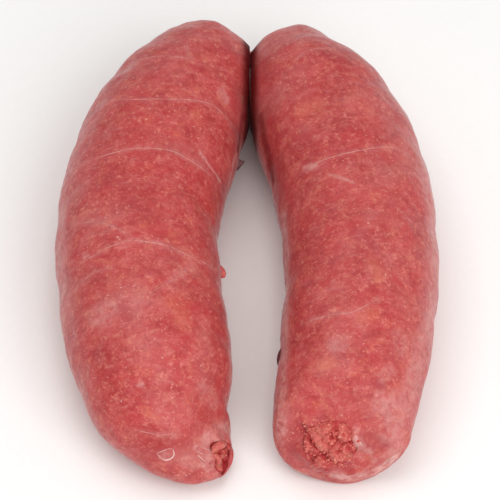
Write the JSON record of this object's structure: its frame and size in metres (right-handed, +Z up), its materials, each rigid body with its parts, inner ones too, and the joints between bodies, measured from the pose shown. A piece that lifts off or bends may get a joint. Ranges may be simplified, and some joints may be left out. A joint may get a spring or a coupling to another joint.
{
  "type": "string of sausage links",
  "caption": "Pair of raw fresh sausage links in one natural casing, twisted shut between their far ends and cut open at the near ends.",
  "frame": {"origin": "middle of the box of the two links, on the surface that they lie on", "axes": "+Z up, +Y along the links from their open mouths to the twist, +X from the first link to the second"},
  "size_m": [0.087, 0.1246, 0.0343],
  "materials": {
    "casing_skin": "moist natural gut, see-through over mottled ground meat, with pale strands",
    "ground_meat": "moist coarse ground raw meat with small specks of fat"
  },
  "bodies": {
    "root": {"casing": "casing_skin", "filling_left": "ground_meat", "filling_right": "ground_meat"}
  },
  "joints": []
}
